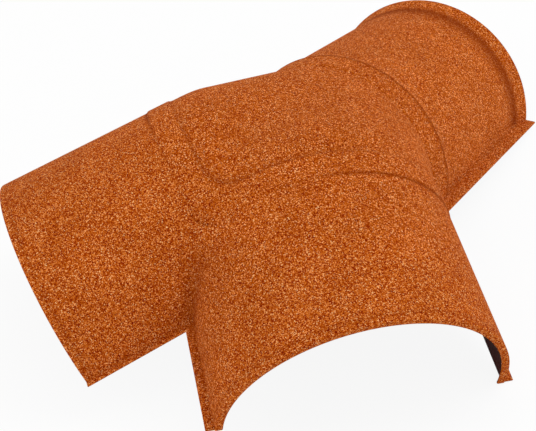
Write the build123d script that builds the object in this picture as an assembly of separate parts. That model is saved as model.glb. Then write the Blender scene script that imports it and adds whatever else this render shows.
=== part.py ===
from build123d import *
import math
import os

# Three-way ridge tile of coated sheet: one ridge arm and two hip arms that meet in a raised saddle.
# It is laid out first as it is fixed on a roof, ridge arm level and pointing along +Y, and then
# tipped over so that it stands on the floor as it would unheld. Millimetres.

# Sheet, with its coat of stone grains
WALL = 2.0

# Hip arms: angle from the -Y direction seen from above, fall of the foot plane, and outside width.
# The half-round runs about an axis that starts off the foot plane and falls less than it does.
HIP_ANGLE = 45.0
HIP_FALL = 24.7
HIP_AXIS_FALL = 23.8
HIP_AXIS_HEIGHT = -1.9
HIP_LENGTH = 208.8
HIP_WIDTH_HUB = 210.5
HIP_WIDTH_END = 220.0
HIP_FLANGE = 6.7
HIP_LIP = 6.0
HIP_COLLAR_START = 58.0
HIP_COLLAR_END = 78.5

# Ridge arm: level, its foot lower than the hips' meeting point, its crown falling to the end
RIDGE_DROP = 26.0
RIDGE_LENGTH = 265.0
RIDGE_WIDTH = 195.0
RIDGE_HEIGHT_HUB = 107.0
RIDGE_HEIGHT_END = 96.5
RIDGE_FLANGE = 14.0
RIDGE_COLLAR_START = 62.0
RIDGE_COLLAR_END = 86.0

# Upstand round the end of the ridge arm: the wall curves outwards over its last stretch
RIM_HEIGHT = 5.0
RIM_FLARE = 25.0
RIM_BEND = 9.0
RIM_BEND_HEIGHT = 1.2

# Saddle: its skin turns from the ridge arm into each hip arm by this distance down the hip
HUB_TURN = 37.0
# Its collars lap over the arms, and the ridge collar is flared
HIP_COLLAR_STEP = 1.2
RIDGE_COLLAR_STEP = 0.7
RIDGE_COLLAR_FLARE = 2.4
# Rounding of the valley between the hips
VALLEY_RADIUS = 24.0

# How far the walls run below their foot lines before they are trimmed there
TRIM = 40.0
# How far cutting tools run past the faces that they open
CLEAR = 60.0
# Larger than the piece
REACH = 1000.0


def arch(half_width, height, drop):
    """Half-round section on straight legs, which run below the foot line at y = 0 by drop."""
    spring = height - half_width
    crown = ThreePointArc((half_width, spring), (0, height), (-half_width, spring))
    legs = Polyline((-half_width, spring), (-half_width, -drop), (half_width, -drop), (half_width, spring))
    return make_face(legs + crown)


class Arm:
    """One tapered half-round arm along its own axis."""

    def __init__(self, plane, foot, length, widths, heights):
        self.plane = plane
        self.foot = foot
        self.length = length
        self.widths = widths
        self.heights = heights

    def half_width(self, along):
        hub, end = self.widths
        return (hub + (end - hub) * along / self.length) / 2

    def height(self, along):
        hub, end = self.heights
        return hub + (end - hub) * along / self.length

    def section(self, along, offset=0.0, drop=TRIM):
        flat = arch(self.half_width(along) + offset, self.height(along) + offset, drop)
        return self.plane.offset(along) * flat

    def tunnel(self, start, stop, offset=0.0, drop=TRIM):
        """Solid half-round run between two distances from the hub, its outside moved by offset."""
        return loft([self.section(start, offset, drop), self.section(stop, offset, drop)], ruled=True)

    def flange(self, start, width, side):
        """The flat strip turned out at the foot of one wall."""
        near = self.half_width(start)
        far = self.half_width(self.length)
        outline = Polyline(
            (start, side * (near - WALL / 2)),
            (self.length, side * (far - WALL / 2)),
            (self.length, side * (far + width)),
            (start, side * (near + width)),
            close=True,
        )
        return extrude(self.foot * make_face(outline), WALL)


def hip_arm():
    """The hip arm towards +X."""
    turn = math.radians(HIP_ANGLE)
    across = Vector(math.cos(turn), math.sin(turn), 0)
    outward = Vector(math.sin(turn), -math.cos(turn), 0)
    foot_line = outward.rotate(Axis((0, 0, 0), across), HIP_FALL)
    axis = outward.rotate(Axis((0, 0, 0), across), HIP_AXIS_FALL)
    foot = Plane(origin=(0, 0, 0), x_dir=foot_line, z_dir=foot_line.cross(across))
    plane = Plane(origin=(0, 0, HIP_AXIS_HEIGHT), x_dir=across, z_dir=axis)
    widths = (HIP_WIDTH_HUB, HIP_WIDTH_END)
    heights = (HIP_WIDTH_HUB / 2, HIP_WIDTH_END / 2)
    return Arm(plane, foot, HIP_LENGTH, widths, heights)


def ridge_arm():
    """The level arm along +Y."""
    base = (0, 0, -RIDGE_DROP)
    foot = Plane(origin=base, x_dir=(0, 1, 0), z_dir=(0, 0, 1))
    plane = Plane(origin=base, x_dir=(-1, 0, 0), z_dir=(0, 1, 0))
    widths = (RIDGE_WIDTH, RIDGE_WIDTH)
    heights = (RIDGE_HEIGHT_HUB, RIDGE_HEIGHT_END)
    return Arm(plane, foot, RIDGE_LENGTH, widths, heights)


def rim(arm, offset=0.0, drop=TRIM):
    """Run of the ridge arm's end where the wall curves out into the upstand."""
    sections = [
        arm.section(arm.length - RIM_FLARE, offset, drop),
        arm.section(arm.length - RIM_BEND, offset + RIM_BEND_HEIGHT, drop),
        arm.section(arm.length, offset + RIM_HEIGHT, drop),
    ]
    return loft(sections)


def right_half(form):
    """The part of a form on the +X side of the plane through the ridge."""
    return form & (Pos(REACH / 2, 0, 0) * Box(REACH, 2 * REACH, 2 * REACH))


def both_sides(form):
    """A form cut at the plane through the ridge and joined to its mirror image."""
    half = right_half(form)
    return half + mirror(half, about=Plane.YZ)


def middle_edges(form):
    """Edges that lie in the plane through the ridge."""
    return form.edges().filter_by(lambda edge: all(abs((edge @ at).X) < 0.01 for at in (0, 0.5, 1)))


def saddle(hip, ridge, offset=0.0, drop=TRIM):
    """One side of the hub: it leaves the ridge arm and turns down into the hip arm."""
    sections = [
        hip.section(HIP_COLLAR_END - 2 * WALL, offset, drop),
        hip.section(HUB_TURN, offset, drop),
        ridge.section(RIDGE_COLLAR_START + WALL, offset, drop),
    ]
    whole = both_sides(loft(sections, ruled=True))
    valley = middle_edges(whole).sort_by(Axis.Z)[-2:]
    rounded = fillet(valley, VALLEY_RADIUS - offset)
    seam = ridge.plane.offset(RIDGE_COLLAR_START + WALL / 2)
    return right_half(split(rounded, seam, keep=Keep.BOTTOM))


def hip_collar(hip):
    """The lap over the hip arm, rounded in the valley."""
    whole = both_sides(hip.tunnel(HIP_COLLAR_START, HIP_COLLAR_END, HIP_COLLAR_STEP))
    valley = middle_edges(whole).sort_by(Axis.Z)[-1]
    return right_half(fillet(valley, VALLEY_RADIUS))


def ridge_collar(ridge):
    """The flared lap over the ridge arm."""
    start = ridge.section(RIDGE_COLLAR_START, RIDGE_COLLAR_STEP)
    stop = ridge.section(RIDGE_COLLAR_END, RIDGE_COLLAR_FLARE)
    return loft([start, stop], ruled=True)


def underneath(hip, ridge):
    """All that lies below the foot planes of both arms."""
    below = Pos(0, 0, -REACH / 2) * Box(2 * REACH, 2 * REACH, REACH)
    return (ridge.foot * below) & (hip.foot * below)


def outer_form(hip, ridge):
    form = ridge.tunnel(RIDGE_COLLAR_START + 2 * WALL, ridge.length - RIM_FLARE)
    form += rim(ridge)
    form += ridge_collar(ridge)
    form += hip.tunnel(HIP_COLLAR_END - WALL, hip.length)
    form = right_half(form)
    form += hip_collar(hip)
    form += saddle(hip, ridge)
    form -= underneath(hip, ridge)
    form += ridge.flange(RIDGE_COLLAR_START, RIDGE_FLANGE, -1)
    # The hip flanges start where the hip's foot plane has come down past the ridge's
    flange_start = RIDGE_DROP / math.sin(math.radians(HIP_FALL)) + WALL
    form += hip.flange(flange_start, HIP_FLANGE, 1)
    form += right_half(hip.flange(flange_start, HIP_FLANGE, -1))
    return form


def hollow_forms(hip, ridge):
    """The runs that open the piece from below and at its three ends."""
    rim_start = ridge.length - RIM_FLARE
    return [
        saddle(hip, ridge, -WALL, CLEAR),
        ridge.tunnel(RIDGE_COLLAR_START + WALL / 2, rim_start, -WALL, CLEAR),
        rim(ridge, -WALL, CLEAR),
        hip.tunnel(HIP_COLLAR_END - 2 * WALL, hip.length - WALL, -WALL, CLEAR),
        hip.tunnel(hip.length - 2 * WALL, hip.length + CLEAR, -HIP_LIP, CLEAR),
    ]


def standing(form, hip, ridge):
    """Tips the piece back until the ridge arm's end and the hips' outer corners share the floor."""
    corner = hip.foot * Pos(hip.length, hip.half_width(hip.length) + HIP_FLANGE, 0)
    foot = corner.position
    tilt = math.degrees(math.atan2(-RIDGE_DROP - foot.Z, ridge.length - foot.Y))
    tipped = Rot(X=-tilt) * form
    box = tipped.bounding_box()
    print("tilt", round(tilt, 2), "size", box.size)
    floor = tipped.vertices().sort_by(Axis.Z)[0].Z
    return Pos(0, -(box.min.Y + box.max.Y) / 2, -floor) * tipped


def ridge_tile():
    hip = hip_arm()
    ridge = ridge_arm()
    half = outer_form(hip, ridge)
    for hollow in hollow_forms(hip, ridge):
        half -= hollow
    whole = half + mirror(half, about=Plane.YZ)
    return standing(whole, hip, ridge)


def main():
    os.makedirs("parts", exist_ok=True)
    export_step(ridge_tile(), "parts/three_way_ridge_tile.step")


main()
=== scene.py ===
import math

import bmesh
import bpy
import numpy as np
from mathutils import Euler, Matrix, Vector

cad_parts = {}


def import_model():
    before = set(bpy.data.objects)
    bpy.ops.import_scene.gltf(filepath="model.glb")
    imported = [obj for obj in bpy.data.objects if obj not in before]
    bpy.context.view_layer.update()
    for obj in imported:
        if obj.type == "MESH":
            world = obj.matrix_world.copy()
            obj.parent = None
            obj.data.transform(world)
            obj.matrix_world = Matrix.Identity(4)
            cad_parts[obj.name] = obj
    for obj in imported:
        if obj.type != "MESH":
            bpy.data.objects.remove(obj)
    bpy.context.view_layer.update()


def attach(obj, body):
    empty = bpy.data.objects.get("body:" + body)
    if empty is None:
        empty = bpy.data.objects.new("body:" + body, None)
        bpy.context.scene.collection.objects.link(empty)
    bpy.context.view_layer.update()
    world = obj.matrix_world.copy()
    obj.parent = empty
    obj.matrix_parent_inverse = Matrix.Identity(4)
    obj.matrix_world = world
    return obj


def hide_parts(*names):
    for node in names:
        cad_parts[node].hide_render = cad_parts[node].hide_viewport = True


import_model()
scene = bpy.context.scene

# Camera at the photograph's place, in metres and degrees, with its focal length in pixels
IMAGE_WIDTH = 536
FOCAL_PX = 1214.44
SENSOR_WIDTH = 36.0
CAMERA_AT = (0.44005, -0.69123, 0.66686)
CAMERA_TURN = (50.489, 5.449, 29.546)
CAMERA_SHIFT = (-0.04303, 0.05318)

# Lamps: name, place, the point that they face, diameter in metres, watts
LAMPS = (
    ("key", (1.1, 0.9, 1.6), (0, 0, 0.1), 1.4, 11),
    ("left_fill", (-1.5, -1.3, 1.0), (0, 0, 0.1), 1.8, 5),
    ("low_fill", (1.2, -1.8, 0.5), (0, 0, 0.08), 1.6, 4),
)
WORLD_LIGHT = 0.82
WHITE = (1, 1, 1, 1)
FLOOR_HALF = 8.0
FLOOR_COLOUR = (0.9, 0.9, 0.9, 1)
# Share of plain white in the floor as the camera sees it; the rest shows the shadow
FLOOR_WHITE = 0.9

# The piece as it is fixed on a roof, in millimetres: ridge arm level along +Y, hub at the origin
WALL = 2.0
HIP_ANGLE = math.radians(45.0)
HIP_FALL = math.radians(24.7)
HIP_AXIS_FALL = math.radians(23.8)
HIP_AXIS_HEIGHT = -1.9
HIP_LENGTH = 208.8
HIP_RADII = (105.25, 110.0)
HIP_COLLAR = (58.0, 78.5)
HIP_COLLAR_STEP = 1.1
HIP_FLANGE = 6.7
RIDGE_DROP = 26.0
RIDGE_LENGTH = 265.0
RIDGE_RADIUS = 97.5
RIDGE_HEIGHTS = (107.0, 96.5)
RIDGE_COLLAR = (62.0, 86.0)
RIDGE_COLLAR_STEP = (0.7, 2.4)
RIDGE_FLANGE = 14.0

# The saddle turns into each hip arm here, softly, with a rounded valley that runs out below the collar
HUB_TURN = 37.0
HUB_SOFTNESS = 13.0
HUB_SOFT_END = 0.95
VALLEY = 22.0
VALLEY_END = 30.0
VALLEY_TAPER = 2.0
MITRE = 1.2

# Upstand round the ridge arm's end: distances along the arm, and how far the wall has curved out
RIM = ((238, 244, 248, 251, 253.5, 256, 259, 262, 265), (0, 0.08, 0.3, 0.7, 1.15, 1.75, 2.8, 3.85, 5.0))
RIM_START = 236.0
# Cut edge of the upstand, from the bare side round to the coat: how far out
RIM_EDGE = (3.2, 3.9, 4.6)

# Lap edges: distance past the collar's end, height over the arm, painted shade (below 0, a painted highlight)
RIDGE_LAP = (
    (7.2, 0.0, -0.5),
    (5.6, 0.0, -0.3),
    (4.0, 0.0, 0.2),
    (2.8, 0.0, 0.55),
    (1.6, 0.0, 0.85),
    (0.8, 0.15, 1.0),
    (0.2, 0.5 * RIDGE_COLLAR_STEP[1], 1.0),
    (-0.4, RIDGE_COLLAR_STEP[1] - 0.15, 1.0),
    (-1.2, RIDGE_COLLAR_STEP[1], 0.85),
    (-2.4, RIDGE_COLLAR_STEP[1] - 0.15, 0.5),
    (-3.8, RIDGE_COLLAR_STEP[1] - 0.25, 0.15),
)
HIP_LAP = (
    (-1.6, HIP_COLLAR_STEP, 0.0),
    (-0.8, 0.9 * HIP_COLLAR_STEP, 0.2),
    (0.0, 0.45 * HIP_COLLAR_STEP, 0.6),
    (0.8, 0.08 * HIP_COLLAR_STEP, 0.9),
    (1.6, 0.0, 0.8),
    (2.4, 0.0, 0.4),
)
# The hip collar's edge towards the hub, with its painted shade on the crown and near the valley
HIP_CREASE = (
    (-2.2, 0.0, 0.1, 0.2),
    (-1.0, 0.05, 0.2, 0.45),
    (0.0, 0.25 * HIP_COLLAR_STEP, 0.3, 0.55),
    (1.0, 0.8 * HIP_COLLAR_STEP, 0.1, 0.35),
    (2.0, HIP_COLLAR_STEP, 0.0, 0.1),
)
# Lip at a hip end, from the coat round to the bare side: distance back from the end, and height
LIP = (
    (0.6, -0.06),
    (0.2, -0.35),
    (0.0, -0.9),
    (0.0, -2.6),
    (0.0, -5.0),
    (0.15, -5.6),
    (0.5, -5.95),
    (1.2, -6.0),
    (1.7, -5.85),
    (2.0, -5.4),
    (2.0, -3.8),
    (2.0, -2.0),
)
LIP_COATED = 8

# Painted shade: the band inside the upstand, the start of the hub, the lip, and the mitre between the hips
RIM_SHADE = 0.95
RIM_SHADE_AT = 247.5
RIM_SHADE_INWARD = 13.0
RIM_SHADE_OUTWARD = 4.5
HUB_SHADE = 0.15
HUB_SHADE_REACH = 2.5
LIP_SHADE = 0.35
LIP_SHADE_BACK = 6.0
LIP_SHADE_REACH = 1.8
MITRE_SHADE = 0.5
MITRE_SHADE_REACH = 9.0
MITRE_SHADE_START = (5, 25)
# Where round the arch a lap's painted shade passes from its value near the valley to that on the crown
CROWN_SIDE = (0.36, 0.62)

# Its place as it stands unheld: tipped back, then moved
TILT = math.radians(10.948841)
STAND = (0.0, -22.499, 75.8588)
METRE = 0.001

# Fineness of the mesh: points round the arch and down each leg, and spacing along the arms
ARC = 120
LEG = 4
COAT_STEP = 2.6
BARE_STEP = 5.2
RIM_STEP = 1.3
FLANGE_STEP = 4.0
WELD = 0.002
WELD_MIDDLE = 0.01

COAT_SLOT = 0
BARE_SLOT = 1

COAT = (186, 84, 2)


def srgb(r, g, b):
    """An eight-bit screen colour as the linear values that the shaders take."""
    out = []
    for v in (r, g, b):
        v = min(max(v, 0), 255) / 255
        out.append(v / 12.92 if v <= 0.04045 else ((v + 0.055) / 1.055) ** 2.4)
    return (*out, 1.0)


def hip_axis(fall):
    level = math.cos(fall)
    return np.array([math.sin(HIP_ANGLE) * level, -math.cos(HIP_ANGLE) * level, -math.sin(fall)])


ACROSS = np.array([math.cos(HIP_ANGLE), math.sin(HIP_ANGLE), 0.0])
HIP_AXIS = hip_axis(HIP_AXIS_FALL)
HIP_UP = np.cross(HIP_AXIS, ACROSS)
HIP_FOOT_AXIS = hip_axis(HIP_FALL)
HIP_FOOT_UP = np.cross(HIP_FOOT_AXIS, ACROSS)
RIDGE_ACROSS = np.array([1.0, 0, 0])
RIDGE_UP = np.array([0.0, 0.0, 1.0])


def half_round(centre, across, up, radius, legs):
    """Points from one foot over the crown to the other; a foot may lie a little up the arch."""
    starts = []
    for leg in legs:
        starts.append(math.asin(min(max(-leg, 0.0) / radius, 1.0)))
    angles = np.linspace(starts[0], math.pi - starts[1], ARC)
    arc = centre + radius * (np.outer(np.cos(angles), across) + np.outer(np.sin(angles), up))
    steps = np.linspace(1, 0, LEG, endpoint=False)
    near = arc[0] - np.outer(steps * max(legs[0], 0.0), up)
    far = arc[-1] - np.outer(steps * max(legs[1], 0.0), up)
    return np.vstack([near, arc, far[::-1]])


def hip_radius(along):
    return HIP_RADII[0] + (HIP_RADII[1] - HIP_RADII[0]) * along / HIP_LENGTH


def hip_ring(along, offset):
    radius = hip_radius(along) + offset
    centre = np.array([0, 0, HIP_AXIS_HEIGHT]) + HIP_AXIS * along
    legs = []
    for side in (1, -1):
        spring = centre + side * radius * ACROSS
        to_hip_foot = spring @ HIP_FOOT_UP / (HIP_UP @ HIP_FOOT_UP)
        to_ridge_foot = (spring[2] + RIDGE_DROP) / HIP_UP[2]
        legs.append(max(to_hip_foot, to_ridge_foot))
    return half_round(centre, ACROSS, HIP_UP, radius, legs)


def ridge_ring(along, offset):
    height = RIDGE_HEIGHTS[0] + (RIDGE_HEIGHTS[1] - RIDGE_HEIGHTS[0]) * along / RIDGE_LENGTH
    leg = height - RIDGE_RADIUS
    centre = np.array([0, along, leg - RIDGE_DROP])
    return half_round(centre, RIDGE_ACROSS, RIDGE_UP, RIDGE_RADIUS + offset, (leg, leg))


def hub_ring(share, offset):
    """Ring of the saddle: 0 at the ridge collar, 1 at the turn into the hip arm."""
    return ridge_ring(RIDGE_COLLAR[0], offset) * (1 - share) + hip_ring(HUB_TURN, offset) * share


CROWN = LEG + ARC // 2
HUB_RUN = float(np.linalg.norm(ridge_ring(RIDGE_COLLAR[0], 0)[CROWN] - hip_ring(HUB_TURN, 0)[CROWN]))
HUB_LEAD = HUB_SOFTNESS / HUB_RUN


def turn_ring(share, offset):
    """Ring of the soft turn from the saddle into the hip arm."""
    start = hub_ring(1 - HUB_LEAD, offset)
    corner = hip_ring(HUB_TURN, offset)
    stop = hip_ring(HUB_TURN + HUB_SOFTNESS * HUB_SOFT_END, offset)
    return (1 - share) ** 2 * start + 2 * share * (1 - share) * corner + share ** 2 * stop


def spaced(start, stop, step):
    count = max(int(round(abs(stop - start) / step)), 1)
    return list(np.linspace(start, stop, count + 1))


def bell(value, middle, width):
    return math.exp(-((value - middle) / width) ** 2)


def smooth(low, high, value):
    share = np.clip((value - low) / (high - low), 0, 1)
    return share * share * (3 - 2 * share)


def rim_shade(along):
    reach = RIM_SHADE_OUTWARD if along > RIM_SHADE_AT else RIM_SHADE_INWARD
    return RIM_SHADE * bell(along, RIM_SHADE_AT, reach)


class Skin:
    """One side of the wall as rings from the ridge end to the hip end.

    A row is the ring's function, its place and offset, the width over which it is rounded at the
    plane between the hips, and how much painted shade it carries on the crown and outer side and near the
    valley.
    """

    def __init__(self, inside):
        self.inside = inside
        self.step = BARE_STEP if inside else COAT_STEP
        self.rows = []
        self.ridge_arm()
        self.ridge_collar()
        self.hub()
        self.hip_collar()
        self.hip_arm()

    def put(self, ring, place, lift=0.0, width=MITRE, crown=0.0, valley=None):
        dark = (crown, crown if valley is None else valley)
        if self.inside:
            lift -= WALL
            dark = (0.0, 0.0)
        self.rows.append((ring, place, lift, width, dark))

    def ridge_arm(self):
        for y in spaced(RIDGE_LENGTH, RIM_START, RIM_STEP) + spaced(RIM_START - 2, RIM_START - 20, self.step):
            # Painted shade in a band inside the upstand, deepest near its foot
            self.put(ridge_ring, y, float(np.interp(y, *RIM)), MITRE, rim_shade(y))
        for y in spaced(RIM_START - 23, RIDGE_COLLAR[1] + 9, self.step):
            self.put(ridge_ring, y)

    def ridge_collar(self):
        first, last = RIDGE_COLLAR
        if self.inside:
            for y in spaced(last, first + 3, self.step):
                self.put(ridge_ring, y)
            return
        low, top = RIDGE_COLLAR_STEP
        for past, lift, dark in RIDGE_LAP:
            self.put(ridge_ring, last + past, lift, MITRE, dark)
        for y in spaced(last - 5, first + 1.5, self.step):
            self.put(ridge_ring, y, low + (top - low) * (y - first) / (last - first))
        # Faint painted shade where the collar starts
        self.put(ridge_ring, first + 0.6, low * 0.6, MITRE, 0.08)

    def hub(self):
        for share in spaced(0.0, 1 - HUB_LEAD, self.step / HUB_RUN):
            # Painted shade along the start of the hub, by the ridge collar's edge
            self.put(hub_ring, share, 0.0, VALLEY, HUB_SHADE * bell(share * HUB_RUN, 0, HUB_SHADE_REACH))
        for share in spaced(0.0, 1.0, self.step / (2 * HUB_SOFTNESS))[1:]:
            self.put(turn_ring, share, 0.0, VALLEY)

    def hip_collar(self):
        first, last = HIP_COLLAR
        if self.inside:
            for s in spaced(first, last, self.step):
                self.put(hip_ring, s, 0.0, VALLEY)
            return
        for past, lift, crown, valley in HIP_CREASE:
            self.put(hip_ring, first + past, lift, VALLEY, crown, valley)
        for s in spaced(first + 3.4, last - 3, self.step):
            self.put(hip_ring, s, HIP_COLLAR_STEP, VALLEY)
        for past, lift, crown in HIP_LAP:
            width = VALLEY - VALLEY_TAPER * max(past, 0)
            self.put(hip_ring, last + past, lift, width, crown, 0.1 * crown)

    def hip_arm(self):
        last = HIP_COLLAR[1]
        for s in spaced(last + 3.8, last + VALLEY_END, min(self.step, COAT_STEP)):
            left = float(1 - smooth(0, VALLEY_END, s - last))
            self.put(hip_ring, s, 0.0, MITRE + (VALLEY - MITRE) * left)
        end = HIP_LENGTH - (WALL if self.inside else 1.4)
        for s in spaced(last + VALLEY_END + COAT_STEP, end, self.step):
            # Painted shade in a line just inside the lip at the hip end
            dark = LIP_SHADE * bell(s, HIP_LENGTH - LIP_SHADE_BACK, LIP_SHADE_REACH)
            self.put(hip_ring, s, 0.0, MITRE, dark)


def rounded(points, width):
    """Rounds a ring where it crosses the plane between the hips, so that its mirror image runs on."""
    x = points[:, 0]
    crossing = np.nonzero((x[:-1] > 0) & (x[1:] <= 0))[0]
    if not len(crossing):
        return points
    step = points[crossing[-1] + 1] - points[crossing[-1]]
    slope = step / step[0]
    slope[0] = 0.0
    near = np.clip(width - x, 0, 1.6 * width)
    return points + np.outer(near ** 2 / (2 * width), slope)


def stand(points):
    """From the roof's frame in millimetres to the stored frame in metres."""
    c, s = math.cos(-TILT), math.sin(-TILT)
    turn = np.array([[1, 0, 0], [0, c, -s], [0, s, c]])
    return (points @ turn.T + np.array(STAND)) * METRE


def half_shell():
    """The wall of the half towards +X: points, faces, material slots and painted shade."""
    outer = Skin(False).rows
    inner = Skin(True).rows
    lip = [(hip_ring, HIP_LENGTH - back, lift, MITRE, (0.0, 0.0)) for back, lift in LIP]
    edge = [(ridge_ring, RIDGE_LENGTH, lift, MITRE, (0.0, 0.0)) for lift in RIM_EDGE]
    rows = outer + lip + inner[::-1] + edge
    grid = np.array([ring(place, lift) for ring, place, lift, _, _ in rows])
    count, wide = grid.shape[:2]
    crown_side = smooth(*CROWN_SIDE, 1 - np.linspace(0, 1, wide))
    dark = np.zeros((count, wide))
    for r, (ring, place, _, width, (crown, valley)) in enumerate(rows):
        dark[r] = valley + (crown - valley) * crown_side
        if ring is hip_ring and place > HIP_COLLAR[1] and r < len(outer):
            # Painted shade in the valley between the hip arms, past their collars
            fade = MITRE_SHADE * float(smooth(*MITRE_SHADE_START, place - HIP_COLLAR[1]))
            near = np.exp(-(np.maximum(grid[r][:, 0], 0) / MITRE_SHADE_REACH) ** 2)
            dark[r] = np.maximum(dark[r], fade * near)
        grid[r] = rounded(grid[r], width)
    coated = len(outer) + LIP_COATED
    faces, slots = [], []
    for r in range(count):
        following = (r + 1) % count
        slot = COAT_SLOT if r < coated or r >= count - 2 else BARE_SLOT
        for k in range(wide - 1):
            a, d = r * wide + k, following * wide + k
            faces.append((a, a + 1, d + 1, d))
            slots.append(slot)
    return grid.reshape(-1, 3), faces, slots, dark.reshape(-1)


def flange_profile(width):
    """Section of a foot flange: distance out from the wall, height over the foot plane, painted shade in the
    corner at its root.
    """
    return (
        (-1.8, 0.05, 0),
        (-1.4, 4.6, 0),
        (-0.1, 4.0, 0.15),
        (0.25, 2.8, 0.3),
        (0.9, 2.15, 0.4),
        (1.9, 1.95, 0.2),
        (3.0, 1.9, 0),
        (width * 0.7, 1.9, 0),
        (width - 0.7, 1.85, 0),
        (width - 0.15, 1.5, 0),
        (width, 1.0, 0),
        (width - 0.1, 0.4, 0),
        (width - 0.5, 0.05, 0),
        (width * 0.5, 0.0, 0),
        (-1.8, 0.0, 0),
    )


def flange(stations, width):
    """A foot flange along stations, each an (origin, out, up) frame; its last two strips are bare."""
    profile = flange_profile(width)
    points = []
    for origin, out, up in stations:
        for distance, height, _ in profile:
            points.append(origin + out * distance + up * height)
    wide = len(profile)
    faces, slots = [], []
    for r in range(len(stations) - 1):
        for k in range(wide - 1):
            a = r * wide + k
            faces.append((a, a + 1, a + 1 + wide, a + wide))
            slots.append(BARE_SLOT if k >= wide - 3 else COAT_SLOT)
    for start in (0, (len(stations) - 1) * wide):
        faces.append(tuple(range(start, start + wide)))
        slots.append(COAT_SLOT)
    dark = [darkness for _ in stations for _, _, darkness in profile]
    return np.array(points), faces, slots, dark


def hip_stations(side):
    start = RIDGE_DROP / math.sin(HIP_FALL) + WALL
    out = []
    for s in spaced(start, HIP_LENGTH, FLANGE_STEP):
        out.append((HIP_FOOT_AXIS * s + ACROSS * side * hip_radius(s), ACROSS * side, HIP_FOOT_UP))
    return out


def ridge_stations():
    out = []
    for y in spaced(RIDGE_COLLAR[0], RIDGE_LENGTH, FLANGE_STEP):
        out.append((np.array([RIDGE_RADIUS, y, -RIDGE_DROP]), RIDGE_ACROSS, RIDGE_UP))
    return out


def wall_foot(foot):
    """Bare bottom edge of the wall; foot is 0 for the outer wall and -1 for the one by the valley."""
    points = []
    for ring, place, lift, _, _ in Skin(True).rows:
        points.append(ring(place, lift)[foot])
        points.append(ring(place, lift + WALL)[foot])
    faces = [(a, a + 1, a + 3, a + 2) for a in range(0, len(points) - 2, 2)]
    return np.array(points), faces, [BARE_SLOT] * len(faces), [0.0] * len(points)


def add_part(bm, layer, points, faces, slots, dark):
    verts = [bm.verts.new(p) for p in points]
    for vert, darkness in zip(verts, dark):
        vert[layer] = float(darkness)
    for corners, slot in zip(faces, slots):
        face = bm.faces.new([verts[i] for i in corners])
        face.material_index = slot
        face.smooth = True


def mirror_half(bm):
    """Cuts the mesh at the plane through the ridge arm and joins its mirror image to it."""
    bmesh.ops.bisect_plane(
        bm,
        geom=bm.verts[:] + bm.edges[:] + bm.faces[:],
        dist=1e-5,
        plane_co=(0, 0, 0),
        plane_no=(-1, 0, 0),
        clear_outer=True,
    )
    bmesh.ops.remove_doubles(bm, verts=bm.verts[:], dist=WELD)
    twin = bmesh.ops.duplicate(bm, geom=bm.verts[:] + bm.edges[:] + bm.faces[:])["geom"]
    for vert in (g for g in twin if isinstance(g, bmesh.types.BMVert)):
        vert.co.x = -vert.co.x
    bmesh.ops.reverse_faces(bm, faces=[g for g in twin if isinstance(g, bmesh.types.BMFace)])
    middle = [vert for vert in bm.verts if abs(vert.co.x) < WELD_MIDDLE]
    bmesh.ops.remove_doubles(bm, verts=middle, dist=WELD_MIDDLE)
    bmesh.ops.recalc_face_normals(bm, faces=bm.faces[:])


def ridge_tile(coat, bare):
    bm = bmesh.new()
    # Per point: painted shade above 0, painted highlight below 0
    layer = bm.verts.layers.float.new("painted_light_and_shade")
    parts = [
        half_shell(),
        flange(hip_stations(1), HIP_FLANGE),
        flange(hip_stations(-1), HIP_FLANGE),
        flange(ridge_stations(), RIDGE_FLANGE),
        wall_foot(0),
        wall_foot(-1),
    ]
    for part in parts:
        add_part(bm, layer, *part)
    mirror_half(bm)
    placed = stand(np.array([vert.co[:] for vert in bm.verts]))
    for vert, place in zip(bm.verts, placed):
        vert.co = place
    mesh = bpy.data.meshes.new("ridge_tile_coated")
    bm.to_mesh(mesh)
    bm.free()
    obj = bpy.data.objects.new("ridge_tile_coated", mesh)
    scene.collection.objects.link(obj)
    mesh.materials.append(coat)
    mesh.materials.append(bare)
    return obj


class Nodes:
    """Builds the node tree of a material or of the world."""

    def __init__(self, material):
        material.use_nodes = True
        self.tree = material.node_tree
        self.tree.nodes.clear()

    def plug(self, socket, value):
        if isinstance(value, bpy.types.NodeSocket):
            self.tree.links.new(value, socket)
        else:
            socket.default_value = value

    def add(self, kind, inputs=None, **settings):
        node = self.tree.nodes.new(kind)
        for name, value in settings.items():
            setattr(node, name, value)
        for name, value in (inputs or {}).items():
            self.plug(node.inputs[name], value)
        return node

    def math(self, operation, a, b=None, c=None):
        node = self.tree.nodes.new("ShaderNodeMath")
        node.operation = operation
        for socket, value in zip(node.inputs, (a, b, c)):
            if value is not None:
                self.plug(socket, value)
        return node.outputs[0]

    def mix(self, factor, a, b, blend="MIX"):
        node = self.tree.nodes.new("ShaderNodeMix")
        node.data_type = "RGBA"
        node.blend_type = blend
        for index, value in ((0, factor), (6, a), (7, b)):
            self.plug(node.inputs[index], value)
        return node.outputs[2]

    def ramp(self, factor, stops):
        node = self.tree.nodes.new("ShaderNodeValToRGB")
        ramp = node.color_ramp
        while len(ramp.elements) < len(stops):
            ramp.elements.new(0.5)
        for element, (position, colour) in zip(ramp.elements, stops):
            element.position = position
            element.color = colour
        self.tree.links.new(factor, node.inputs[0])
        return node.outputs[0]


def coat_tone(lift):
    """The coat's colour made lighter or darker by about the same in each channel."""
    return srgb(COAT[0] + lift, COAT[1] + 1.1 * lift, COAT[2] + 1.3 * lift)


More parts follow.
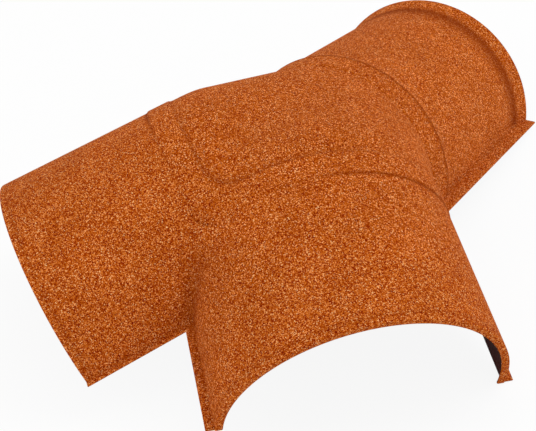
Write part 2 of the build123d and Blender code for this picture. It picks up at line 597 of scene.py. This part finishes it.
def grain_coat():
    """Terracotta stone grains under a millimetre across, bonded over the sheet."""
    material = bpy.data.materials.new("grain_coat_terracotta")
    n = Nodes(material)
    coords = n.add("ShaderNodeTexCoord").outputs["Object"]
    grains = n.add("ShaderNodeTexVoronoi", {"Vector": coords, "Scale": 1600.0}, feature="F1")
    pick = n.add("ShaderNodeSeparateColor", {"Color": grains.outputs["Color"]})
    colour = n.ramp(pick.outputs["Red"], [
        (0.00, coat_tone(-72)),
        (0.20, coat_tone(-38)),
        (0.50, coat_tone(-4)),
        (0.80, coat_tone(30)),
        (0.94, coat_tone(66)),
        (1.00, coat_tone(104)),
    ])
    # Faint patches a few centimetres across
    patches = n.add("ShaderNodeTexNoise", {"Vector": coords, "Scale": 24.0, "Detail": 4.0, "Roughness": 0.6})
    shade = n.ramp(patches.outputs["Fac"], [(0.3, (0.93, 0.92, 0.90, 1)), (0.7, (1.07, 1.08, 1.10, 1))])
    colour = n.mix(1.0, colour, shade, "MULTIPLY")
    # Painted shade in corners and at lap edges, painted highlight where the stored value is below 0
    painted_light_and_shade = n.add("ShaderNodeAttribute", attribute_name="painted_light_and_shade").outputs["Fac"]
    painted_shade_amount = n.math("MULTIPLY", n.math("MAXIMUM", painted_light_and_shade, 0.0), 0.8)
    colour = n.mix(painted_shade_amount, colour, srgb(128, 44, 0))
    painted_highlight_amount = n.math("MULTIPLY", n.math("MINIMUM", painted_light_and_shade, 0.0), -0.35)
    colour = n.mix(painted_highlight_amount, colour, srgb(222, 138, 82))
    dome = n.math("SUBTRACT", 1.0, n.math("MULTIPLY", grains.outputs["Distance"], 1.3))
    height = n.math("MULTIPLY_ADD", pick.outputs["Green"], 0.6, dome)
    bump = n.add("ShaderNodeBump", {"Height": height, "Strength": 0.7, "Distance": 0.0004})
    shader = n.add("ShaderNodeBsdfPrincipled", {
        "Base Color": colour,
        "Roughness": 0.85,
        "Specular IOR Level": 0.03,
        "Normal": bump.outputs["Normal"],
    })
    n.add("ShaderNodeOutputMaterial", {"Surface": shader.outputs["BSDF"]})
    return material


def bare_side():
    """Dark primer on the side that the grains don't cover, with a soft sheen and a fine texture."""
    material = bpy.data.materials.new("primer_dark")
    n = Nodes(material)
    coords = n.add("ShaderNodeTexCoord").outputs["Object"]
    cloud = n.add("ShaderNodeTexNoise", {"Vector": coords, "Scale": 18.0, "Detail": 5.0, "Roughness": 0.6})
    colour = n.ramp(cloud.outputs["Fac"], [
        (0.30, srgb(54, 15, 8)),
        (0.55, srgb(68, 20, 12)),
        (0.75, srgb(84, 29, 17)),
    ])
    fine = n.add("ShaderNodeTexNoise", {"Vector": coords, "Scale": 900.0, "Detail": 2.0})
    rough = n.add("ShaderNodeMapRange", {"Value": cloud.outputs["Fac"], "To Min": 0.45, "To Max": 0.65})
    bump = n.add("ShaderNodeBump", {"Height": fine.outputs["Fac"], "Strength": 0.25, "Distance": 0.0002})
    shader = n.add("ShaderNodeBsdfPrincipled", {
        "Base Color": colour,
        "Roughness": rough.outputs["Result"],
        "Specular IOR Level": 0.16,
        "Normal": bump.outputs["Normal"],
    })
    n.add("ShaderNodeOutputMaterial", {"Surface": shader.outputs["BSDF"]})
    return material


def floor():
    """Pale floor that the camera sees as nearly white, and that keeps the object's shadow."""
    h = FLOOR_HALF
    mesh = bpy.data.meshes.new("floor")
    mesh.from_pydata([(-h, -h, 0), (h, -h, 0), (h, h, 0), (-h, h, 0)], [], [(0, 1, 2, 3)])
    obj = bpy.data.objects.new("floor", mesh)
    scene.collection.objects.link(obj)
    material = bpy.data.materials.new("floor_pale")
    n = Nodes(material)
    path = n.add("ShaderNodeLightPath")
    matt = n.add("ShaderNodeBsdfDiffuse", {"Color": FLOOR_COLOUR})
    white = n.add("ShaderNodeEmission", {"Color": WHITE, "Strength": 1.0})
    both = n.add("ShaderNodeMixShader")
    n.plug(both.inputs[0], n.math("MULTIPLY", path.outputs["Is Camera Ray"], FLOOR_WHITE))
    n.plug(both.inputs[1], matt.outputs[0])
    n.plug(both.inputs[2], white.outputs[0])
    n.add("ShaderNodeOutputMaterial", {"Surface": both.outputs[0]})
    mesh.materials.append(material)


def world():
    """Even light from all round, which the camera sees as white."""
    studio = bpy.data.worlds.new("studio")
    scene.world = studio
    n = Nodes(studio)
    path = n.add("ShaderNodeLightPath")
    light = n.add("ShaderNodeBackground", {"Color": WHITE, "Strength": WORLD_LIGHT})
    seen = n.add("ShaderNodeBackground", {"Color": WHITE, "Strength": 1.0})
    pick = n.add("ShaderNodeMixShader")
    n.plug(pick.inputs[0], path.outputs["Is Camera Ray"])
    n.plug(pick.inputs[1], light.outputs[0])
    n.plug(pick.inputs[2], seen.outputs[0])
    n.add("ShaderNodeOutputWorld", {"Surface": pick.outputs[0]})


def lamp(name, at, target, size, power):
    data = bpy.data.lights.new(name, "AREA")
    data.shape = "DISK"
    data.size = size
    data.energy = power
    obj = bpy.data.objects.new(name, data)
    obj.location = at
    obj.rotation_euler = (Vector(target) - Vector(at)).to_track_quat("-Z", "Y").to_euler()
    scene.collection.objects.link(obj)


def camera():
    data = bpy.data.cameras.new("camera")
    data.sensor_fit = "HORIZONTAL"
    data.sensor_width = SENSOR_WIDTH
    data.lens = FOCAL_PX / IMAGE_WIDTH * SENSOR_WIDTH
    data.shift_x, data.shift_y = CAMERA_SHIFT
    data.clip_start = 0.01
    data.clip_end = 50.0
    obj = bpy.data.objects.new("camera", data)
    obj.location = CAMERA_AT
    obj.rotation_euler = Euler([math.radians(a) for a in CAMERA_TURN])
    scene.collection.objects.link(obj)
    scene.camera = obj


piece = ridge_tile(grain_coat(), bare_side())
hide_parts("three_way_ridge_tile")
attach(piece, "root")
floor()
world()
for settings in LAMPS:
    lamp(*settings)
camera()
scene.view_settings.view_transform = "Standard"
